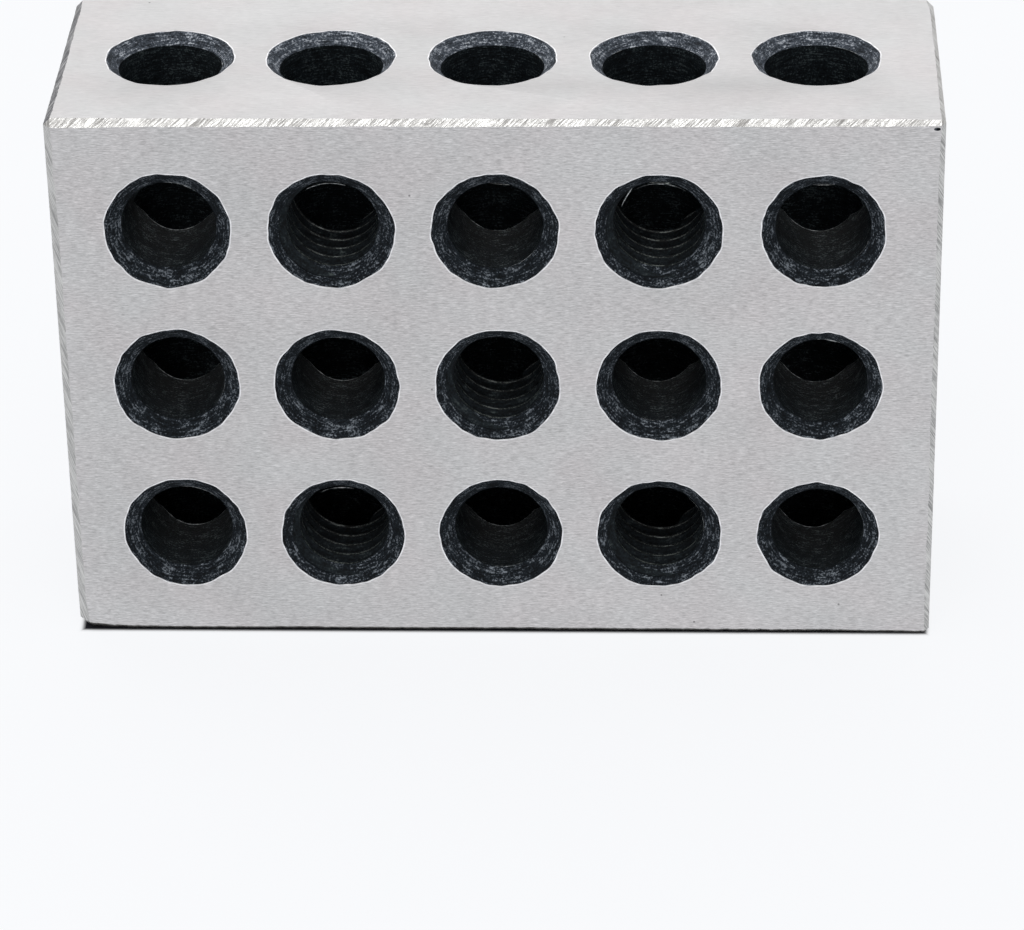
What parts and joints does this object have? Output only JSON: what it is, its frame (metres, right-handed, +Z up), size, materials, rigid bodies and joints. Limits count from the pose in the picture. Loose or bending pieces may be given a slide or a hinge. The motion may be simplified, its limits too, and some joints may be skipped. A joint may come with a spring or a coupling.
{
  "type": "machinist's setup block",
  "caption": "Ground steel block with an inch, two inch and three inch sides, drilled through on every side for clamping, spacing and squaring work.",
  "frame": {"origin": "middle of the side that the block stands on, 25.4 mm by 76.2 mm", "axes": "+X along the three inch length, +Y through the one inch width from front to back, +Z up the two inch height"},
  "size_m": [0.0762, 0.0254, 0.0508],
  "materials": {
    "ground_steel": "surface ground steel, with hand ground edges and black scale left from hardening in the holes"
  },
  "bodies": {
    "root": {"setup_block": "ground_steel"}
  },
  "joints": []
}
